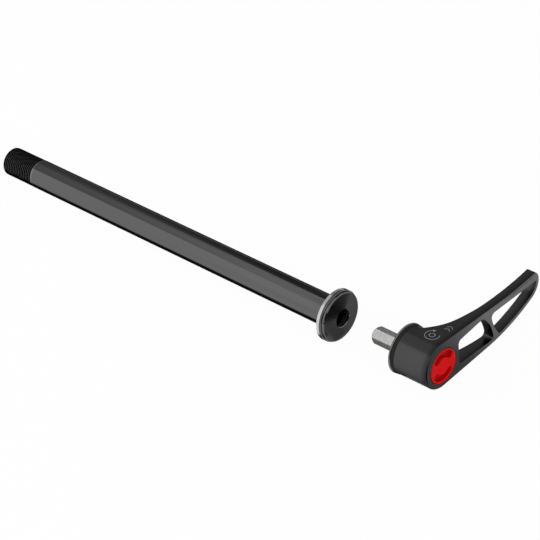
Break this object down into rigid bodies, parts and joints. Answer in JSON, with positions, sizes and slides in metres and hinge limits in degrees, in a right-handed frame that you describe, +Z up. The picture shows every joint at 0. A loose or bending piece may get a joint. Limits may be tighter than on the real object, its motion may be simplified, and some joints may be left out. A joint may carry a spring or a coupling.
{
  "type": "bicycle thru axle",
  "caption": "Hollow bicycle thru axle with flanged hex-socket head and threaded end, washer, and a plug-in hex lever with windowed arm, red end cap and spring-return indexing hub.",
  "frame": {"origin": "on the axle's centre line in the plane of the washer's seat", "axes": "+Y along the axle from its threaded end to its head and lever, +Z up, the lever's arm to -X"},
  "size_m": [0.0677, 0.2274, 0.0218],
  "materials": {
    "black_anodised": "satin black anodised",
    "washer_steel": "turned, zinc plated",
    "grip_rubber": "matt",
    "bit_steel": "satin steel",
    "insert_black": "black anodised",
    "lever_black": "fine bead blasted, black anodised",
    "screw_steel": "satin steel",
    "spring_steel": "spring wire",
    "cap_red": "gloss"
  },
  "bodies": {
    "axle": {"axle": "black_anodised", "socket_ring": "grip_rubber"},
    "washer": {"head_washer": "washer_steel"},
    "insert": {"drive_insert": "insert_black", "foot_seal": "grip_rubber", "hex_bit": "bit_steel", "shoulder_screw": "screw_steel", "return_spring": "spring_steel"},
    "lever": {"lever_body": "lever_black", "end_cap": "cap_red"}
  },
  "joints": [
    {"name": "washer_spin", "type": "hinge", "parent": "axle", "child": "washer", "pos_m": [0, 0, 0], "axis": [0, 1, 0], "continuous": true},
    {"name": "lever_plug", "type": "slide", "parent": "axle", "child": "insert", "axis": [0, 1, 0], "range_m": [-0.029, 0]},
    {"name": "lever_lift", "type": "slide", "parent": "insert", "child": "lever", "axis": [0, 1, 0], "range_m": [0, 0.0032], "stiffness_N_per_m": 900, "springref_m": -0.003, "deforming": ["return_spring"]}
  ]
}
